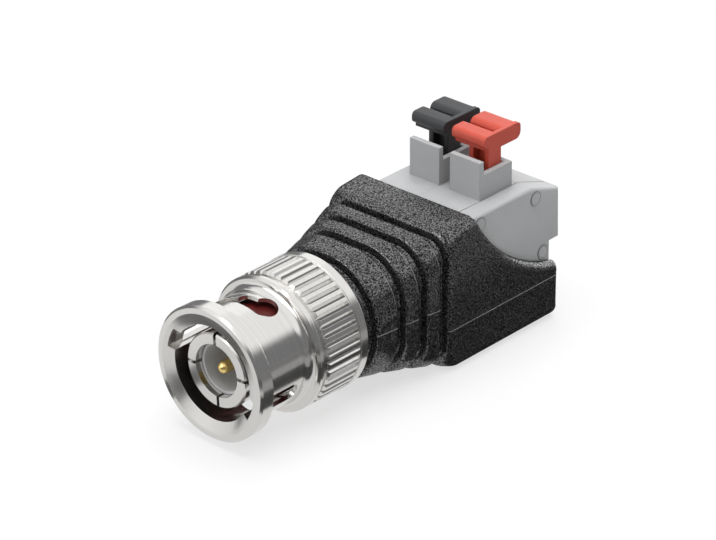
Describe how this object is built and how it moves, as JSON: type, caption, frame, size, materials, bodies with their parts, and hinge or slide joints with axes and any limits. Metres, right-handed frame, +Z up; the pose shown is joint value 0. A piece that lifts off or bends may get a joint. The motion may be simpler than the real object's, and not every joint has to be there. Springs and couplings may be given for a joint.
{
  "type": "coaxial bayonet plug to terminal block adapter",
  "caption": "Coaxial bayonet plug with a ribbed boot that widens to a push-button terminal block, so that bare wires can be clamped to it without solder.",
  "frame": {"origin": "on the plug's axis, in the plane of the coupling nut's front face", "axes": "+Y along the plug's axis from the mating face to the wire entries, +Z up towards the buttons, +X towards the end cover beside the red button"},
  "size_m": [0.017, 0.0446, 0.0223],
  "materials": {
    "bright_nickel": "bright nickel plate over turned brass",
    "spring_steel": "rolled strip",
    "gasket_rubber": "matt red rubber",
    "insulator_plastic": "turned grey plastic",
    "gold_plate": "gold plate",
    "tinned_brass": "tinned",
    "boot_plastic": "moulded with a fine grain",
    "block_plastic": "moulded, satin",
    "black_button": "moulded, satin",
    "red_button": "moulded, satin"
  },
  "bodies": {
    "plug": {"wave_washer_front": "spring_steel", "wave_washer_rear": "spring_steel", "plug_body": "bright_nickel", "sealing_gasket": "gasket_rubber", "insulator": "insulator_plastic", "centre_pin": "gold_plate", "signal_lead": "tinned_brass", "ground_lead": "tinned_brass", "boot": "boot_plastic", "pole_housing_negative": "block_plastic", "pole_housing_positive": "block_plastic", "end_cover": "block_plastic", "clamp_spring_negative": "spring_steel", "clamp_spring_positive": "spring_steel", "contact_bar_negative": "tinned_brass", "contact_bar_positive": "tinned_brass"},
    "thrust": {"thrust_washer": "spring_steel"},
    "nut": {"coupling_nut": "bright_nickel", "retaining_ring": "spring_steel"},
    "black_button": {"button_negative": "black_button"},
    "red_button": {"button_positive": "red_button"}
  },
  "joints": [
    {"name": "nut_pull", "type": "slide", "parent": "plug", "child": "thrust", "axis": [0, -1, 0], "range_m": [0, 0.001], "stiffness_N_per_m": 12000, "deforming": ["wave_washer_front", "wave_washer_rear"]},
    {"name": "nut_turn", "type": "hinge", "parent": "thrust", "child": "nut", "pos_m": [0, 0, 0], "axis": [0, -1, 0], "continuous": true},
    {"name": "black_button_press", "type": "slide", "parent": "plug", "child": "black_button", "axis": [0, 0, -1], "range_m": [0, 0.0016], "stiffness_N_per_m": 5000, "deforming": ["clamp_spring_negative"]},
    {"name": "red_button_press", "type": "slide", "parent": "plug", "child": "red_button", "axis": [0, 0, -1], "range_m": [0, 0.0016], "stiffness_N_per_m": 5000, "deforming": ["clamp_spring_positive"]}
  ]
}
